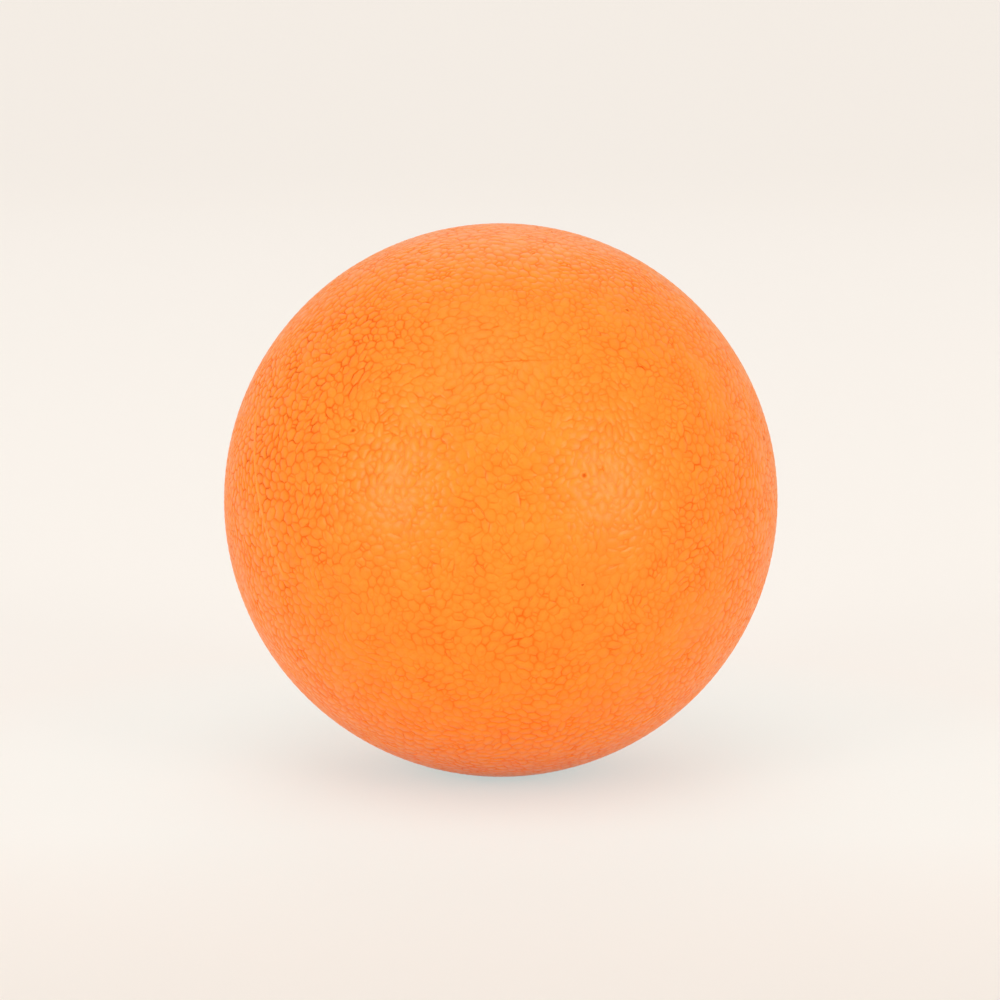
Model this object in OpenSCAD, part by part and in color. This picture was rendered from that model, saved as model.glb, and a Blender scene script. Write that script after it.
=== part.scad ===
// Foot massage ball: a firm core in a soft cover of two half cups, which lap and are bonded at a seam.
// A thin bead closes the seam on the outside. The origin is the ball's centre, +Z is up and -Y is the front.

/* [Ball] */
// Diameter over the cover
ball_d = 63; // [50:0.5:80]
// Wall of the cover
cover_wall = 5; // [3:0.25:8]
// Diameter of the spot that the soft cover flattens to where the ball rests
rest_spot_d = 6; // [4:0.5:12]

/* [Seam] */
// Turn of the seam's axis about the vertical, from the front towards +X
seam_turn = 36; // [0:1:90]
// Tilt of the seam's axis above the horizontal
seam_tilt = 27.5; // [0:0.5:90]
// Depth of the front half's tongue inside the rear half
lap_depth = 2.5; // [1:0.25:4]
// Thickness of the tongue where it leaves the front half
tongue_wall = 2.4; // [1:0.1:2.5]
// Diameter of the bead in the seam
bead_d = 0.5; // [0.3:0.05:1]
// Height of the bead above the cover
bead_proud = 0.1; // [0.05:0.05:0.15]

/* [Fits] */
// Bond line between curved faces that are glued together
bond_gap = 0.05; // [0.02:0.01:0.2]

/* [Hidden] */
$fn = 128;
ball_r = ball_d / 2;
cup_r = ball_r - cover_wall;
core_r = cup_r - bond_gap;
tongue_r = cup_r + tongue_wall;
rebate_r = tongue_r + bond_gap;
rebate_depth = lap_depth + bond_gap;
bead_r = bead_d / 2;
bead_ring_r = ball_r + bead_proud - bead_r;
rest_z = sqrt(pow(ball_r, 2) - pow(rest_spot_d / 2, 2));

// Carries what is drawn about +Z to the seam's axis
module on_seam_axis() {
    rotate([90 - seam_tilt, 0, seam_turn]) children();
}

// Everything below the plane that the ball rests on
module below_rest() {
    translate([0, 0, -rest_z - ball_r]) cube(ball_d, center = true);
}

// Section of the cover's whole wall, on both sides of the seam
module wall_section() {
    difference() {
        circle(r = ball_r);
        circle(r = cup_r);
    }
}

// Section of the bead, or of its seat when it is given the bond line to add
module bead_section(around = 0) {
    translate([bead_ring_r, 0]) circle(r = bead_r + around);
}

module front_section() {
    difference() {
        intersection() {
            wall_section();
            union() {
                square(ball_r);
                translate([0, -lap_depth]) square([tongue_r, lap_depth]);
            }
        }
        bead_section(bond_gap);
    }
}

module rear_section() {
    difference() {
        intersection() {
            wall_section();
            translate([0, -ball_r]) square(ball_r);
        }
        translate([0, -rebate_depth]) square([rebate_r, rebate_depth]);
        bead_section(bond_gap);
    }
}

// A ring turned from a section about the seam's axis, flattened where the ball rests on it
module seam_ring() {
    difference() {
        on_seam_axis() rotate_extrude() children();
        below_rest();
    }
}

module core() {
    color("tan") sphere(r = core_r);
}

module cover_front() {
    color("darkorange") seam_ring() front_section();
}

module cover_rear() {
    color("darkorange") seam_ring() rear_section();
}

module seam_bead() {
    color("sandybrown") seam_ring() bead_section();
}

core();
cover_front();
cover_rear();
seam_bead();
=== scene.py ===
"""Dresses the foot massage ball: a grained soft cover in two halves, its seam bead and the firm core."""

import math
import random

import bmesh
import bpy
from mathutils import Euler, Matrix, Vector, noise


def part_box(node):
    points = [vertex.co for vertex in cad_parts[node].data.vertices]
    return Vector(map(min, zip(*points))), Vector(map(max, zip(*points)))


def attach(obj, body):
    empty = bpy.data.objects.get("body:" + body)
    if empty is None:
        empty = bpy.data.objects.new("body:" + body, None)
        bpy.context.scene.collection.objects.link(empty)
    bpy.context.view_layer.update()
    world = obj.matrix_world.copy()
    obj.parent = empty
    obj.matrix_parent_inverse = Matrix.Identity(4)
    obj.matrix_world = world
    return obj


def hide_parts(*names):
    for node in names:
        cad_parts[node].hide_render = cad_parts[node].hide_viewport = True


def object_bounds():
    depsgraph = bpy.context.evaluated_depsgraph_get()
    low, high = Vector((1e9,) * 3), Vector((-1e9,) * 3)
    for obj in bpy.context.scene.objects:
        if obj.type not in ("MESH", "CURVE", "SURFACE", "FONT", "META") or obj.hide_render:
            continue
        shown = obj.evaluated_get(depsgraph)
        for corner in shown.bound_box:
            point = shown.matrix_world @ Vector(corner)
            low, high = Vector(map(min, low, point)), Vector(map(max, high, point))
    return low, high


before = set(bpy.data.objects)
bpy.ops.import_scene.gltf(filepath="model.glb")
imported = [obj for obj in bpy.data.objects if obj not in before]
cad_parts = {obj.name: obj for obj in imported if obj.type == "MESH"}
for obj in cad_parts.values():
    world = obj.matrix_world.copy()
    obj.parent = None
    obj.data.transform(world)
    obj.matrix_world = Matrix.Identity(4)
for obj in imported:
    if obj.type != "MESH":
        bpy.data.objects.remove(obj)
cad_low, cad_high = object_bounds()

MM = 0.001

# Sizes read from the frame
BALL_R = cad_high.z
REST_Z = cad_low.z
CORE_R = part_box("core")[1].z

# The seam, as the part's source sets it
SEAM_TURN = math.radians(36)
SEAM_TILT = math.radians(27.5)
SEAM_EULER = Euler((math.pi / 2 - SEAM_TILT, 0, SEAM_TURN))
LAP_DEPTH = 2.5 * MM
TONGUE_WALL = 2.4 * MM
BOND_GAP = 0.05 * MM
CUP_R = CORE_R + BOND_GAP
TONGUE_R = CUP_R + TONGUE_WALL
BEAD_R = 0.25 * MM

# Height of the bead's crown over the pebbles: sunk, apart from the stretches that show. A stretch has the
# longitude of its middle about the seam's axis and its spread, both in degrees, and its height in mm.
BEAD_SUNK = -0.13 * MM
BEAD_RISEN = 0.03 * MM
BEAD_WAVER = 0.05 * MM
BEAD_WAVES = 28
BEAD_STRETCHES = (
    (158, 6, 0.04),
    (168, 6, 0.05),
    (176, 5, 0.07),
    (183, 4, 0.04),
    (189.5, 1.4, 0.13),
    (36, 14, 0.08),
    (62, 9, 0.07),
    (318, 10, 0.07),
    (345, 12, 0.09),
)

# The cover's grain: pebbles with grooves between them, longer along the seam's axis and along slow swirls
GRAIN_SEED = 3
POINTS_TRIED = 4.2 / MM**2
PEBBLE_SPACING = 0.7 * MM
PEBBLE_STRETCH = 1.22
SWIRL_SIZE = 6 * MM
SWIRL_REACH = 0.45 * MM
SWIRL_STEPS = 3
JOINED_SHARE = 0.13
JOINED_CLEARANCE = 0.22
LONG_EDGE = 0.66 * MM
GROOVE_DEPTH = 0.17 * MM
GROOVE_WANDER = 0.085 * MM
SLOPE_SIDE = 0.19 * MM
SLOPE_SIDE_LEVEL = 0.72
SLOPE_SIDE_MOST = 0.45
UNEVENNESS = 0.5
CORNER_ROUNDING = 0.1
HAIR = 0.001 * MM

# How deep the grooves are, as a share of the full depth: a plain depth with a quick and a slow change,
# and what patches add. A patch has the direction of its middle on the ball, its breadth and what it adds.
PLAIN_DEPTH = 0.46
LEAST_DEPTH = 0.08
QUICK_CHANGE = 0.75
QUICK_SIZE = 1.1 * MM
SLOW_CHANGE = 0.3
SLOW_SIZE = 6 * MM
SLOW_PLACE = Vector((3, 7, 1))
DEEP_PATCHES = (
    ((-0.66, -0.58, 0.47), 0.08, 0.24),
    ((-0.78, -0.6, 0.1), 0.08, 0.18),
    ((0.78, -0.6, 0.1), 0.06, 0.1),
    ((-0.38, -0.91, 0.15), 0.03, -0.22),
    ((0.37, -0.92, 0.1), 0.03, -0.14),
    ((0, -0.98, -0.2), 0.05, 0.06),
    ((-0.3, 0.9, 0.2), 0.3, 0.25),
    ((0.9, 0.3, -0.3), 0.2, 0.2),
)

# Small marks in the skin: directions of pits and pips, and a faint line scored across the upper front
PITS = (
    (-0.495, -0.794, 0.353),
    (0.26, -0.942, 0.214),
    (0.28, -0.937, 0.207),
    (-0.118, -0.898, 0.424),
    (0.44, -0.528, 0.727),
    (0.284, -0.947, -0.151),
    (0.93, -0.268, 0.25),
)
PIPS = (
    (-0.48, -0.803, 0.35),
    (0.152, -0.877, 0.455),
    (0.535, -0.682, 0.499),
    (0.621, -0.753, -0.219),
)
MARK_RIM = 0.05 * MM
MARK_R = 0.13 * MM
PIT_DEPTH = 0.06 * MM
PIP_HEIGHT = 0.03 * MM
LINE_AXIS = (-0.052, 0.245, 0.968)
LINE_PLACE = 0.3594 * BALL_R
LINE_MIDDLE = (0.267, -0.78, 0.57)
# Sunk, the line takes the grooves' painted shade, most of it about LINE_DARKEST
LINE_DARKEST = (0.033, -0.821, 0.57)
LINE_REACH = math.radians(33)
LINE_HALF_WIDTH = 0.18 * MM
LINE_BAND = 2 * MM
LINE_DEPTH = 0.04 * MM
LINE_LEVEL = 0.3
LINE_FAINTEST = 0.4
LINE_DARK_REACH = math.radians(10)

# The smooth cups inside the cover: their sides and rings, and the angles past which edges stay sharp
CUP_SIDES = 128
CUP_RINGS = 12
CUP_SHARP = math.radians(40)
RIM_SHARP = math.radians(50)

# Colours of the rubbers, and the span that most of a cloud texture's values lie in
# Pebble colours: the rubber's own orange, with a little extra blue that is a painted sheen on the pebble tops
PEBBLE_ORANGE = (0.95, 0.25, 0.011)
PEBBLE_PALE = (0.96, 0.285, 0.018)
PEBBLE_DEEP = (0.95, 0.212, 0.007)
# Painted shade: the deeper, redder orange of the grooves stands in for the shade that gathers in them
GROOVE_SHADE_RED = (0.95, 0.148, 0.001)
# Painted shadow: the brown of the deepest creases, where their shade falls
CREASE_SHADE_BROWN = (0.66, 0.108, 0.002)
SPECK_BROWN = (0.84, 0.155, 0.001)
BEAD_ORANGE = (0.95, 0.245, 0.01)
BEAD_PALE = (0.96, 0.33, 0.024)
CORE_BROWN = (0.3, 0.2, 0.11)
CORE_TAN = (0.55, 0.42, 0.26)
CLOUD = (0.3, 0.7)

# The floor, in metres: a flat round that bends up to a low wall, and the spans over which its glow changes,
# by the distance from the ball's middle and by the place from front to back
FLOOR_R = 3
FLOOR_BEND_R = 3
FLOOR_BEND_STEPS = 12
FLOOR_WALL = 0.5
FLOOR_PALE = (0.97, 0.92, 0.87)
# Painted light: beside the ball the glow is brighter and less red, lifting the ball's shadow and cancelling
# its orange bounce
GLOW_BESIDE_PAINTED_LIGHT = (0.85, 1, 0.98)
GLOW_NEAR = (0.95, 0.905, 0.85)
# Painted shade: the glow is darker towards the front
GLOW_FORE_PAINTED_SHADE = (0.83, 0.76, 0.69)
GLOW_FAR = (0.92, 0.86, 0.795)
BESIDE_BALL = (BALL_R, 2.6 * BALL_R)
FOREGROUND = (-0.09, -0.03)
BACKGROUND = (0.3, 2)

# Softboxes: azimuth from the front and elevation in degrees, width and height in metres, power in watts
SOFTBOX_REACH = 2.6
SOFTBOXES = (
    ("left", -43, 6, 0.9, 2.2, 29),
    ("right", 43, 6, 0.9, 2.2, 29),
    ("top", -10, 62, 1.6, 1.6, 10),
    ("back", 180, 45, 1.6, 1.6, 6),
)
SKY_COLOUR = (1, 0.98, 0.95)
SKY_STRENGTH = 0.73

# The photographed view, in its 1000 by 1000 frame
IMAGE_SIDE = 1000
BALL_RADIUS_PX = 276.9
BALL_RIGHT_PX = 0.8
CAMERA_ELEVATION = math.radians(8)
LENS = 100
SENSOR = 36


def deselect_all():
    if bpy.context.object and bpy.context.object.mode != "OBJECT":
        bpy.ops.object.mode_set(mode="OBJECT")
    bpy.ops.object.select_all(action="DESELECT")


def pick(piece):
    """Makes a piece the only one selected, and the active one."""
    deselect_all()
    piece.select_set(True)
    bpy.context.view_layer.objects.active = piece


def edit(piece, select="SELECT", kind="VERT"):
    """Opens a piece in edit mode with everything, or nothing, selected."""
    pick(piece)
    bpy.ops.object.mode_set(mode="EDIT")
    bpy.ops.mesh.select_mode(type=kind)
    bpy.ops.mesh.select_all(action=select)


def done():
    bpy.ops.object.mode_set(mode="OBJECT")


def select_faces(piece, wanted, kind="FACE"):
    """Opens a piece in edit mode with only the wanted faces selected."""
    edit(piece, "DESELECT", "FACE")
    done()
    for face in piece.data.polygons:
        face.select = wanted(face)
    bpy.ops.object.mode_set(mode="EDIT")
    bpy.ops.mesh.select_mode(type=kind)


def on_seam_axis(piece):
    """Turns a piece that was made about +Z to the seam's axis, with its place in its mesh."""
    pick(piece)
    piece.rotation_euler = SEAM_EULER
    bpy.ops.object.transform_apply(location=False, rotation=True, scale=False)


def before_turning(direction):
    """Where a direction on the finished ball lies on a piece that is still about +Z."""
    return SEAM_EULER.to_matrix().inverted() @ Vector(direction).normalized()


def pebble_cells():
    """A node tree that scatters points over a mesh, and gives each its own cell."""
    tree = bpy.data.node_groups.new("pebble_cells", "GeometryNodeTree")
    for way in ("INPUT", "OUTPUT"):
        tree.interface.new_socket("Geometry", in_out=way, socket_type="NodeSocketGeometry")
    chain = [
        tree.nodes.new(kind)
        for kind in (
            "NodeGroupInput",
            "GeometryNodeDistributePointsOnFaces",
            "GeometryNodePointsToVertices",
            "GeometryNodeConvexHull",
            "GeometryNodeDualMesh",
            "NodeGroupOutput",
        )
    ]
    for before, after in zip(chain, chain[1:]):
        tree.links.new(before.outputs[0], after.inputs[0])
    scatter = chain[1]
    scatter.distribute_method = "POISSON"
    scatter.inputs["Distance Min"].default_value = PEBBLE_SPACING
    scatter.inputs["Density Max"].default_value = POINTS_TRIED
    scatter.inputs["Seed"].default_value = GRAIN_SEED
    return tree


def swirl(mesh):
    """Draws the cells out along slow swirls, so that the pebbles lie in different directions."""
    near = 0.01
    sides = [Vector((near, 0, 0)), Vector((0, near, 0)), Vector((0, 0, near))]
    for vertex in mesh.vertices:
        spot = vertex.co.normalized() * BALL_R
        for _ in range(SWIRL_STEPS):
            place = spot / SWIRL_SIZE
            level = noise.noise(place)
            slope = Vector([(noise.noise(place + side) - level) / near for side in sides])
            spot = spot + spot.normalized().cross(slope) * SWIRL_REACH / SWIRL_STEPS
            spot = spot.normalized() * BALL_R
        vertex.co = spot


def joins_well(edge):
    """Whether the two cells beside an edge make one that widens steadily from its middle."""
    corners = {corner for face in edge.link_faces for corner in face.verts}
    middle = sum((corner.co for corner in corners), Vector()) / len(corners)
    clear = JOINED_CLEARANCE * math.sqrt(sum(face.calc_area() for face in edge.link_faces))
    for face in edge.link_faces:
        for loop in face.loops:
            if loop.edge == edge:
                continue
            here = loop.vert.co - middle
            there = loop.link_loop_next.vert.co - middle
            if here.cross(there).dot(middle.normalized()) < clear * loop.edge.calc_length():
                return False
    return True


def join_some(grid, chance):
    """Lets some pebbles run into one neighbour each."""
    taken = set()
    joined = []
    for edge in sorted(grid.edges, key=lambda edge: chance.random()):
        if len(joined) > JOINED_SHARE * len(grid.faces):
            break
        if not taken.intersection(edge.link_faces) and joins_well(edge):
            taken.update(edge.link_faces)
            joined.append(edge)
    bmesh.ops.dissolve_edges(grid, edges=joined, use_verts=False)


def lay_out_cells(skin):
    """Joins cells, breaks their long edges, and gives each pebble its own shade."""
    chance = random.Random(GRAIN_SEED)
    grid = bmesh.new()
    grid.from_mesh(skin.data)
    join_some(grid, chance)
    long_edges = [edge for edge in grid.edges if edge.calc_length() > LONG_EDGE]
    bmesh.ops.subdivide_edges(grid, edges=long_edges, cuts=1)
    shade = grid.faces.layers.float.new("pebble")
    for face in grid.faces:
        face[shade] = chance.random()
    grid.to_mesh(skin.data)
    grid.free()
    skin.data.attributes.new("grain", "FLOAT", "POINT")


def draw_in(skin):
    """Draws every selected pebble in towards its middle, unevenly, and notes how high its new rim stands."""
    bpy.ops.mesh.inset(thickness=HAIR, depth=0, use_individual=True)
    done()
    chance = random.Random(GRAIN_SEED)
    vertices = skin.data.vertices
    heights = skin.data.attributes["grain"].data
    for face in skin.data.polygons:
        if not face.select:
            continue
        middle = face.center.copy()
        corners = [vertices[i].co.copy() for i in face.vertices]
        usual = sum((corner - middle).length for corner in corners) / len(corners)
        pull = min(SLOPE_SIDE / usual, SLOPE_SIDE_MOST)
        for n, i in enumerate(face.vertices):
            beside = (corners[n - 1] + corners[(n + 1) % len(corners)]) / 2
            rounded = corners[n].lerp(beside, CORNER_ROUNDING * pull)
            vertices[i].co = rounded.lerp(middle, pull * chance.uniform(1 - UNEVENNESS, 1 + UNEVENNESS))
            heights[i].value = SLOPE_SIDE_LEVEL
    bpy.ops.object.mode_set(mode="EDIT")


def dome(skin):
    """Gives every selected pebble a middle point, at full height."""
    done()
    rims = len(skin.data.vertices)
    bpy.ops.object.mode_set(mode="EDIT")
    bpy.ops.mesh.poke()
    done()
    for middle in skin.data.attributes["grain"].data[rims:]:
        middle.value = 1
    bpy.ops.object.mode_set(mode="EDIT")


def groove_depth(spot):
    """How deep the grooves are at a place, as a share: deeper in some patches, and uneven everywhere."""
    towards = SEAM_EULER.to_matrix() @ spot.normalized()
    depth = PLAIN_DEPTH
    for middle, breadth, more in DEEP_PATCHES:
        depth += more * math.exp((towards.dot(Vector(middle).normalized()) - 1) / breadth)
    quick = noise.noise(spot / QUICK_SIZE)
    slow = noise.noise(spot / SLOW_SIZE + SLOW_PLACE)
    return min(1, max(LEAST_DEPTH, depth * (1 + SLOW_CHANGE * slow + QUICK_CHANGE * quick)))


def set_heights(mesh):
    """Brings every point to its height, and notes it: 0 in the deepest groove, 1 on a pebble."""
    for vertex, kept in zip(mesh.vertices, mesh.attributes["grain"].data):
        drop = groove_depth(vertex.co) * (1 - kept.value)
        vertex.co = vertex.co.normalized() * (BALL_R - GROOVE_DEPTH * drop)
        kept.value = 1 - drop


def grained_skin():
    """The whole ball's outer skin about +Z: low domed pebbles, parted by grooves of uneven depth."""
    deselect_all()
    bpy.ops.mesh.primitive_ico_sphere_add(subdivisions=6, radius=BALL_R)
    skin = bpy.context.object
    skin.name = "skin"
    skin.scale.z = 1 / PEBBLE_STRETCH
    bpy.ops.object.transform_apply(scale=True)
    cells = skin.modifiers.new("cells", "NODES")
    cells.node_group = pebble_cells()
    bpy.ops.object.modifier_apply(modifier=cells.name)
    skin.scale.z = PEBBLE_STRETCH
    bpy.ops.object.transform_apply(scale=True)
    swirl(skin.data)
    lay_out_cells(skin)

    edit(skin)
    bpy.ops.transform.vertex_random(offset=GROOVE_WANDER, seed=GRAIN_SEED)
    bpy.ops.mesh.select_mode(type="FACE")
    draw_in(skin)
    dome(skin)
    bpy.ops.mesh.select_all(action="SELECT")
    bpy.ops.mesh.normals_make_consistent(inside=False)
    done()
    set_heights(skin.data)
    bpy.ops.object.shade_smooth()
    return skin


def sink(skin, depth, level, strength=lambda spot: 1):
    """Moves the selected points inwards, and notes the level that sets how much of the grooves' painted shade
    they take.
    """
    for vertex, kept in zip(skin.data.vertices, skin.data.attributes["grain"].data):
        if vertex.select:
            share = strength(vertex.co)
            vertex.co -= vertex.co.normalized() * depth * share
            kept.value = min(kept.value, 1 - (1 - level) * share)


def score_line(skin):
    """Scores the faint line across the upper front, where the photographed one shows."""
    axis = before_turning(LINE_AXIS)
    middle = before_turning(LINE_MIDDLE)
    darkest = before_turning(LINE_DARKEST)

    def beside_line(face):
        off = abs(face.center.dot(axis) - LINE_PLACE)
        return off < LINE_BAND and face.center.angle(middle) < LINE_REACH

    def strength(spot):
        ending = max(0, 1 - (spot.angle(middle) / LINE_REACH) ** 4)
        darker = math.exp(-((spot.angle(darkest) / LINE_DARK_REACH) ** 2))
        return ending * (LINE_FAINTEST + (1 - LINE_FAINTEST) * darker)

    for aside in (-LINE_HALF_WIDTH, LINE_HALF_WIDTH, 0):
        select_faces(skin, beside_line, "VERT")
        bpy.ops.mesh.bisect(plane_co=axis * (LINE_PLACE + aside), plane_no=axis, threshold=HAIR)
    done()
    sink(skin, LINE_DEPTH, LINE_LEVEL, strength)


def mark(skin, directions, depth, level):
    """Makes pits, or with a negative depth pips, in the pebbles that lie nearest to some directions."""
    heights = skin.data.attributes["grain"].data
    tops = [vertex for vertex, kept in zip(skin.data.vertices, heights) if kept.value == 1]
    marked = {}
    for direction in directions:
        aim = before_turning(direction)
        top = max(tops, key=lambda vertex: vertex.co.dot(aim))
        marked[top.index] = top.co.copy()
    select_faces(skin, lambda face: not marked.keys().isdisjoint(face.vertices))
    for _ in range(2):
        bpy.ops.mesh.inset(thickness=MARK_RIM, depth=0)
    done()
    for vertex in skin.data.vertices:
        if vertex.select:
            middle = min(marked.values(), key=lambda spot: (spot - vertex.co).length)
            out = vertex.co - middle
            if out.length > MARK_R:
                vertex.co = middle + out.normalized() * MARK_R
    sink(skin, depth, level)


def cup(side, ledge_r, lap):
    """The rim's step and the inside of a cup, turned about +Z from its section."""
    deselect_all()
    bpy.ops.mesh.primitive_circle_add(vertices=CUP_SIDES, radius=ledge_r)
    bowl = bpy.context.object
    first = math.asin(lap / CUP_R)
    angles = [-first + (math.pi / 2 + first) * i / CUP_RINGS for i in range(CUP_RINGS)]
    rings = [(ledge_r, lap)] + [(CUP_R * math.cos(a), -CUP_R * math.sin(a)) for a in angles]
    edit(bowl)
    radius, depth = ledge_r, 0
    for new_radius, new_depth in rings:
        drop = (0, 0, -side * (new_depth - depth))
        bpy.ops.mesh.extrude_edges_move(TRANSFORM_OT_translate={"value": drop})
        share = new_radius / radius
        bpy.ops.transform.resize(value=(share, share, 1), center_override=(0, 0, 0))
        radius, depth = new_radius, new_depth
    bpy.ops.mesh.merge(type="CENTER")
    bpy.ops.mesh.select_all(action="SELECT")
    bpy.ops.mesh.normals_make_consistent(inside=False)
    done()
    bpy.ops.object.shade_smooth_by_angle(angle=CUP_SHARP)
    return bowl


def cover_half(skin, name, side, ledge_r, lap):
    """Cuts one half out of the skin, gives it its stepped rim and its cup, and sets it on the seam's axis."""
    half = skin.copy()
    half.data = skin.data.copy()
    half.name = half.data.name = name
    bpy.context.collection.objects.link(half)
    edit(half)
    bpy.ops.mesh.bisect(plane_co=(0, 0, 0), plane_no=(0, 0, side), clear_inner=True, threshold=HAIR)
    done()
    bowl = cup(side, ledge_r, lap)
    pick(half)
    bowl.select_set(True)
    bpy.ops.object.join()
    edit(half, "DESELECT", "EDGE")
    bpy.ops.mesh.select_non_manifold(extend=False)
    bpy.ops.mesh.bridge_edge_loops()
    bpy.ops.mesh.select_all(action="SELECT")
    bpy.ops.mesh.normals_make_consistent(inside=False)
    done()
    bpy.ops.object.shade_smooth_by_angle(angle=RIM_SHARP)
    spread_map(half, side)
    on_seam_axis(half)
    flatten_spot(half)
    return half


def spread_map(half, side):
    """Lays a half out for baked textures: its skin on a large disc, its inside on a small one."""
    skin_disc = (0.5, 0.5, 0.49)
    inner_disc = (0.915, 0.915, 0.08)
    skin_inner_r = BALL_R - 0.5 * MM
    wall_share = 0.2
    mesh = half.data
    layer = mesh.uv_layers.new(name="OFBake")
    for face in mesh.polygons:
        outside = all(mesh.vertices[i].co.length > skin_inner_r for i in face.vertices)
        across, along, reach = skin_disc if outside else inner_disc
        for corner in face.loop_indices:
            spot = mesh.vertices[mesh.loops[corner].vertex_index].co
            share = math.acos(max(-1, min(1, side * spot.z / spot.length))) / (math.pi / 2)
            if not outside:
                through = (spot.length - CUP_R) / (BALL_R - CUP_R)
                share = (1 - wall_share) * share + wall_share * through
            flat = math.hypot(spot.x, spot.y) or 1
            layer.data[corner].uv = (
                across + reach * share * spot.x / flat,
                along + side * reach * share * spot.y / flat,
            )


def flatten_spot(piece):
    """Presses whatever hangs below the rest plane flat onto it."""
    for vertex in piece.data.vertices:
        vertex.co.z = max(vertex.co.z, REST_Z)


def bead_height(longitude):
    """How far the bead's crown stands over the pebbles at a longitude: it shows only along some stretches."""
    height = 0
    for middle, spread, most in BEAD_STRETCHES:
        off = (longitude - middle + 180) % 360 - 180
        height = max(height, most * MM * math.exp(-((off / spread) ** 2)))
    around = math.radians(longitude)
    waver = noise.noise(Vector((math.cos(around), math.sin(around), 0)) * BEAD_WAVES)
    shown = min(1, height / BEAD_RISEN)
    return BEAD_SUNK + (height - BEAD_SUNK) * shown + BEAD_WAVER * waver * shown


def seam_bead():
    """The bead in the seam, which stands proud only along some stretches."""
    deselect_all()
    bpy.ops.mesh.primitive_torus_add(
        major_radius=BALL_R, minor_radius=BEAD_R, major_segments=256, minor_segments=8
    )
    bead = bpy.context.object
    bead.name = bead.data.name = "seam_bead_skin"
    finer = bead.modifiers.new("finer", "SUBSURF")
    finer.levels = finer.render_levels = 2
    bpy.ops.object.modifier_apply(modifier=finer.name)
    for vertex in bead.data.vertices:
        flat = Vector((vertex.co.x, vertex.co.y, 0))
        longitude = math.degrees(math.atan2(flat.y, flat.x)) % 360
        vertex.co += flat.normalized() * (bead_height(longitude) - BEAD_R)
    bead.data.uv_layers[0].name = "OFBake"
    bpy.ops.object.shade_smooth()
    on_seam_axis(bead)
    return bead


def new_material(name):
    material = bpy.data.materials.new(name)
    material.use_nodes = True
    return material, material.node_tree, material.node_tree.nodes["Principled BSDF"]


def rubber_skin():
    """A node group for moulded rubber: a slow mottle of its colour, and the fine unevenness of its skin."""
    group = bpy.data.node_groups.new("rubber_skin", "ShaderNodeTree")
    group.interface.new_socket("Mottle Scale", in_out="INPUT", socket_type="NodeSocketFloat")
    group.interface.new_socket("Fine Scale", in_out="INPUT", socket_type="NodeSocketFloat")
    group.interface.new_socket("Mottle", in_out="OUTPUT", socket_type="NodeSocketFloat")
    group.interface.new_socket("Fine", in_out="OUTPUT", socket_type="NodeSocketFloat")
    given = group.nodes.new("NodeGroupInput")
    result = group.nodes.new("NodeGroupOutput")
    place = group.nodes.new("ShaderNodeTexCoord")
    for name, detail in (("Mottle", 2), ("Fine", 3)):
        cloud = group.nodes.new("ShaderNodeTexNoise")
        cloud.inputs["Detail"].default_value = detail
        group.links.new(place.outputs["Object"], cloud.inputs["Vector"])
        group.links.new(given.outputs[name + " Scale"], cloud.inputs["Scale"])
        group.links.new(cloud.outputs["Fac"], result.inputs[name])
    return group


def add_skin(tree, group, mottle_scale, fine_scale):
    """Places the shared group in a material, with that material's own values."""
    skin = tree.nodes.new("ShaderNodeGroup")
    skin.node_tree = group
    skin.inputs["Mottle Scale"].default_value = mottle_scale
    skin.inputs["Fine Scale"].default_value = fine_scale
    return skin


def blend(tree, factor, first, second):
    """Mixes two colours, each given as a colour or as a socket, by a socket."""
    mix = tree.nodes.new("ShaderNodeMix")
    mix.data_type = "RGBA"
    tree.links.new(factor, mix.inputs["Factor"])
    for name, colour in (("A", first), ("B", second)):
        socket = next(s for s in mix.inputs if s.name == name and s.type == "RGBA")
        if isinstance(colour, tuple):
            socket.default_value = (*colour, 1)
        else:
            tree.links.new(colour, socket)
    return next(s for s in mix.outputs if s.type == "RGBA")


def stretch(tree, value, span, new_span, way="LINEAR"):
    """Maps a value from one span to another."""
    node = tree.nodes.new("ShaderNodeMapRange")
    node.interpolation_type = way
    for name, (low, high) in (("From", span), ("To", new_span)):
        node.inputs[name + " Min"].default_value = low
        node.inputs[name + " Max"].default_value = high
    tree.links.new(value, node.inputs["Value"])
    return node.outputs["Result"]


def count(tree, way, first, second):
    """Joins the values of two sockets by adding, multiplying or the like."""
    node = tree.nodes.new("ShaderNodeMath")
    node.operation = way
    tree.links.new(first, node.inputs[0])
    tree.links.new(second, node.inputs[1])
    return node.outputs["Value"]


def attribute(tree, name):
    node = tree.nodes.new("ShaderNodeAttribute")
    node.attribute_name = name
    return node.outputs["Fac"]


def fine_bump(tree, shader, height, distance):
    bump = tree.nodes.new("ShaderNodeBump")
    bump.inputs["Strength"].default_value = 0.5
    bump.inputs["Distance"].default_value = distance
    tree.links.new(height, bump.inputs["Height"])
    tree.links.new(bump.outputs["Normal"], shader.inputs["Normal"])


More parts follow.
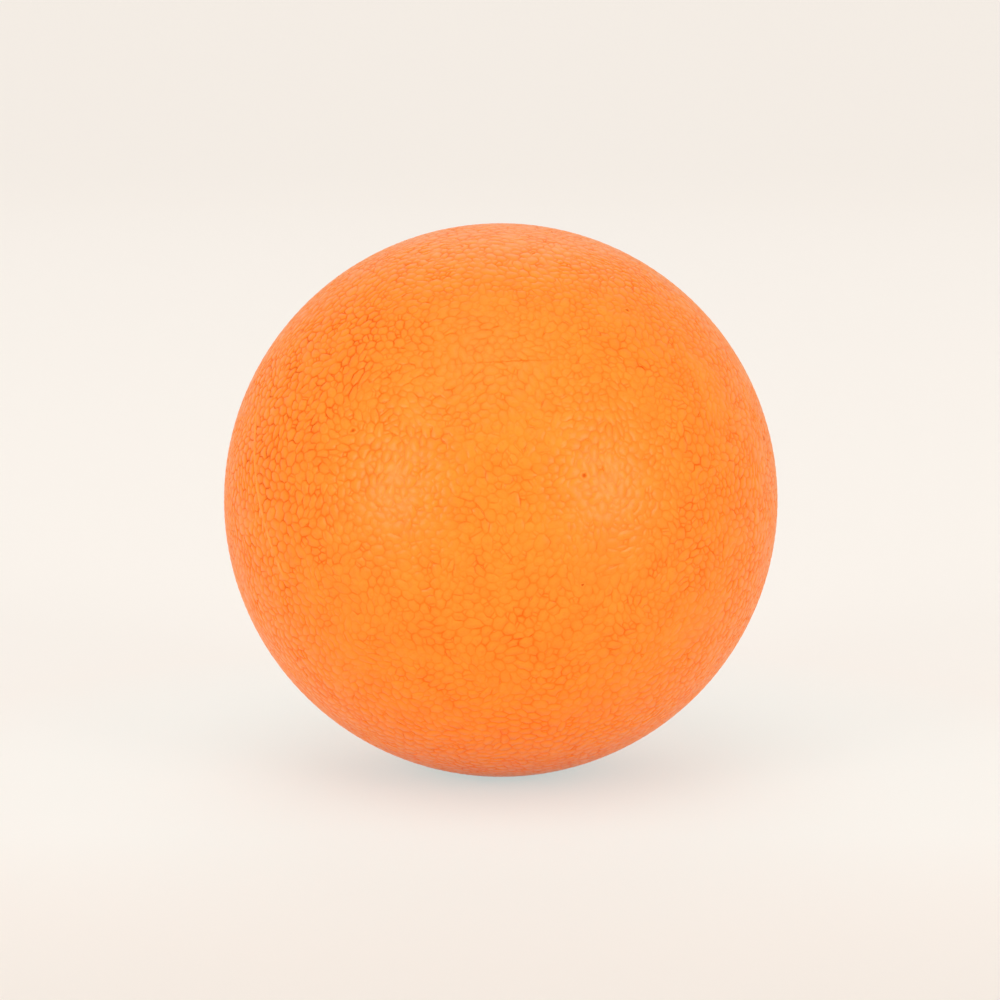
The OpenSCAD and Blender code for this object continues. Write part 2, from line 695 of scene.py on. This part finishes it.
def cover_rubber(group):
    """Soft orange rubber, with painted light on its grain: a little whiter on the pebbles as a painted sheen,
    deeper and redder in the grooves as painted shade, and brown in the deepest creases as painted shadow.
    """
    material, tree, shader = new_material("cover_rubber")
    skin = add_skin(tree, group, mottle_scale=330, fine_scale=2300)
    mottle = skin.outputs["Mottle"]
    fine = skin.outputs["Fine"]
    grain = attribute(tree, "grain")
    pebble = attribute(tree, "pebble")
    ragged = count(tree, "ADD", grain, stretch(tree, fine, CLOUD, (-0.17, 0.17)))
    patchy = count(tree, "ADD", ragged, stretch(tree, mottle, CLOUD, (-0.12, 0.12)))
    rise = stretch(tree, patchy, (0, 1), (0, 1), "SMOOTHSTEP")
    even = blend(tree, mottle, PEBBLE_ORANGE, PEBBLE_PALE)
    lively = blend(tree, stretch(tree, pebble, (0, 1), (0, 0.3)), even, PEBBLE_DEEP)
    # Painted shade: the grooves take a deeper, redder orange by how deep they lie
    groove_shaded = blend(tree, rise, GROOVE_SHADE_RED, lively)
    # Painted shadow: the deepest creases turn brown
    full = blend(tree, stretch(tree, grain, (0, 0.36), (0, 1)), CREASE_SHADE_BROWN, groove_shaded)
    specked = blend(tree, stretch(tree, fine, (0.5, 0.72), (0, 0.4)), full, SPECK_BROWN)
    tree.links.new(specked, shader.inputs["Base Color"])
    tree.links.new(stretch(tree, grain, (0, 1), (0.6, 0.4)), shader.inputs["Roughness"])
    tree.links.new(stretch(tree, grain, (0.2, 1), (0, 0.42)), shader.inputs["Coat Weight"])
    shader.inputs["Coat Roughness"].default_value = 0.29
    shader.inputs["Specular IOR Level"].default_value = 0.12
    fine_bump(tree, shader, fine, 0.03 * MM)
    return material


def bead_rubber(group):
    """The bead's rubber: the cover's, smoother and a little lighter."""
    material, tree, shader = new_material("bead_rubber")
    skin = add_skin(tree, group, mottle_scale=700, fine_scale=5000)
    colour = blend(tree, skin.outputs["Mottle"], BEAD_ORANGE, BEAD_PALE)
    tree.links.new(colour, shader.inputs["Base Color"])
    tree.links.new(stretch(tree, skin.outputs["Fine"], CLOUD, (0.3, 0.42)), shader.inputs["Roughness"])
    fine_bump(tree, shader, skin.outputs["Mottle"], 0.05 * MM)
    return material


def core_rubber(group):
    """The firm core's crumbed rubber."""
    material, tree, shader = new_material("core_rubber")
    skin = add_skin(tree, group, mottle_scale=420, fine_scale=2600)
    colour = blend(tree, skin.outputs["Mottle"], CORE_BROWN, CORE_TAN)
    tree.links.new(colour, shader.inputs["Base Color"])
    tree.links.new(stretch(tree, skin.outputs["Fine"], CLOUD, (0.6, 0.85)), shader.inputs["Roughness"])
    fine_bump(tree, shader, skin.outputs["Mottle"], 0.2 * MM)
    return material


def pale_floor():
    """A matt pale floor, which also glows a little to the camera, and more so farther off: brighter and less
    red beside the ball as painted light, darker in front as painted shade.
    """
    material, tree, shader = new_material("pale_floor")
    shader.inputs["Base Color"].default_value = (*FLOOR_PALE, 1)
    shader.inputs["Roughness"].default_value = 0.9
    shader.inputs["Specular IOR Level"].default_value = 0.1
    place = tree.nodes.new("ShaderNodeTexCoord")
    split = tree.nodes.new("ShaderNodeSeparateXYZ")
    tree.links.new(place.outputs["Object"], split.inputs["Vector"])
    back = split.outputs["Y"]
    off = tree.nodes.new("ShaderNodeVectorMath")
    off.operation = "LENGTH"
    tree.links.new(place.outputs["Object"], off.inputs[0])
    apart = stretch(tree, off.outputs["Value"], BESIDE_BALL, (0, 1))

    # Painted light beside the ball, then painted shade towards the front
    near = blend(tree, apart, GLOW_BESIDE_PAINTED_LIGHT, GLOW_NEAR)
    fore = blend(tree, stretch(tree, back, FOREGROUND, (0, 1)), GLOW_FORE_PAINTED_SHADE, near)
    shine = blend(tree, stretch(tree, back, BACKGROUND, (0, 1)), fore, GLOW_FAR)
    glow = tree.nodes.new("ShaderNodeEmission")
    tree.links.new(shine, glow.inputs["Color"])

    path = tree.nodes.new("ShaderNodeLightPath")
    seen = path.outputs["Is Camera Ray"]
    for other in ("Is Glossy Ray", "Is Transmission Ray"):
        seen = count(tree, "MAXIMUM", seen, path.outputs[other])
    share = count(tree, "MULTIPLY", seen, stretch(tree, back, BACKGROUND, (0.55, 0.9)))
    mix = tree.nodes.new("ShaderNodeMixShader")
    tree.links.new(share, mix.inputs["Fac"])
    tree.links.new(shader.outputs["BSDF"], mix.inputs[1])
    tree.links.new(glow.outputs["Emission"], mix.inputs[2])
    tree.links.new(mix.outputs["Shader"], tree.nodes["Material Output"].inputs["Surface"])
    return material


def dress(piece, material, slot, *nodes):
    """Gives a piece its material, hides the solids it stands for, and sets it on the body it rides on."""
    piece.data.materials.clear()
    piece.data.materials.append(material)
    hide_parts(*nodes)
    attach(piece, "root")


def floor_dish():
    """A pale floor that bends up to a low wall all round."""
    deselect_all()
    bpy.ops.mesh.primitive_circle_add(vertices=96, radius=FLOOR_R, fill_type="NGON")
    dish = bpy.context.object
    dish.name = "floor"
    dish.location.z = REST_Z
    bpy.ops.object.transform_apply(location=True)
    edit(dish)
    for step in range(FLOOR_BEND_STEPS):
        before = math.pi / 2 * step / FLOOR_BEND_STEPS
        after = math.pi / 2 * (step + 1) / FLOOR_BEND_STEPS
        old_r = FLOOR_R + FLOOR_BEND_R * math.sin(before)
        new_r = FLOOR_R + FLOOR_BEND_R * math.sin(after)
        rise = FLOOR_BEND_R * (math.cos(before) - math.cos(after))
        bpy.ops.mesh.select_all(action="DESELECT")
        bpy.ops.mesh.select_non_manifold()
        bpy.ops.mesh.extrude_edges_move(TRANSFORM_OT_translate={"value": (0, 0, rise)})
        bpy.ops.transform.resize(value=(new_r / old_r, new_r / old_r, 1), center_override=(0, 0, 0))
    bpy.ops.mesh.extrude_edges_move(TRANSFORM_OT_translate={"value": (0, 0, FLOOR_WALL)})
    done()
    bpy.ops.object.shade_smooth()
    dish.data.materials.append(pale_floor())


def softboxes():
    """Soft lamps beside the camera, overhead and behind, all turned to the ball."""
    for name, azimuth, elevation, width, height, power in SOFTBOXES:
        lamp = bpy.data.lights.new(f"softbox_{name}", "AREA")
        lamp.shape = "RECTANGLE"
        lamp.size = width
        lamp.size_y = height
        lamp.energy = power
        box = bpy.data.objects.new(lamp.name, lamp)
        bpy.context.collection.objects.link(box)
        turn = math.radians(azimuth)
        rise = math.radians(elevation)
        flat = SOFTBOX_REACH * math.cos(rise)
        box.location = (flat * math.sin(turn), -flat * math.cos(turn), SOFTBOX_REACH * math.sin(rise))
        box.rotation_euler = (-box.location).to_track_quat("-Z", "Y").to_euler()
        box.visible_camera = False


def pale_sky():
    """An even pale light from all round."""
    world = bpy.data.worlds.new("pale_sky")
    world.use_nodes = True
    light = world.node_tree.nodes["Background"]
    light.inputs["Color"].default_value = (*SKY_COLOUR, 1)
    light.inputs["Strength"].default_value = SKY_STRENGTH
    bpy.context.scene.world = world


def camera():
    """The photographed view: far enough off that the ball has its size in the picture."""
    lens_px = IMAGE_SIDE * LENS / SENSOR
    reach = BALL_R / math.sin(math.atan(BALL_RADIUS_PX / lens_px))
    data = bpy.data.cameras.new("camera")
    data.lens = LENS
    data.sensor_width = SENSOR
    data.shift_x = -BALL_RIGHT_PX / IMAGE_SIDE
    seat = bpy.data.objects.new("camera", data)
    bpy.context.collection.objects.link(seat)
    seat.location = (0, -reach * math.cos(CAMERA_ELEVATION), reach * math.sin(CAMERA_ELEVATION))
    seat.rotation_euler = (math.pi / 2 - CAMERA_ELEVATION, 0, 0)
    data.clip_start = 0.01
    bpy.context.scene.camera = seat


skin = grained_skin()
score_line(skin)
# Pits take the grooves' painted shade in full; pips take none
mark(skin, PITS, depth=PIT_DEPTH, level=0)
mark(skin, PIPS, depth=-PIP_HEIGHT, level=1)
front = cover_half(skin, "cover_front_skin", 1, TONGUE_R, LAP_DEPTH)
rear = cover_half(skin, "cover_rear_skin", -1, TONGUE_R + BOND_GAP, LAP_DEPTH + BOND_GAP)
bpy.data.objects.remove(skin)
bead = seam_bead()

rubber = rubber_skin()
cover = cover_rubber(rubber)
dress(front, cover, "cover", "cover_front")
dress(rear, cover, "cover", "cover_rear")
dress(bead, bead_rubber(rubber), "cover", "seam_bead")
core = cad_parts["core"]
core.data.materials.clear()
core.data.materials.append(core_rubber(rubber))

floor_dish()
softboxes()
pale_sky()
camera()
bpy.context.scene.view_settings.view_transform = "Standard"
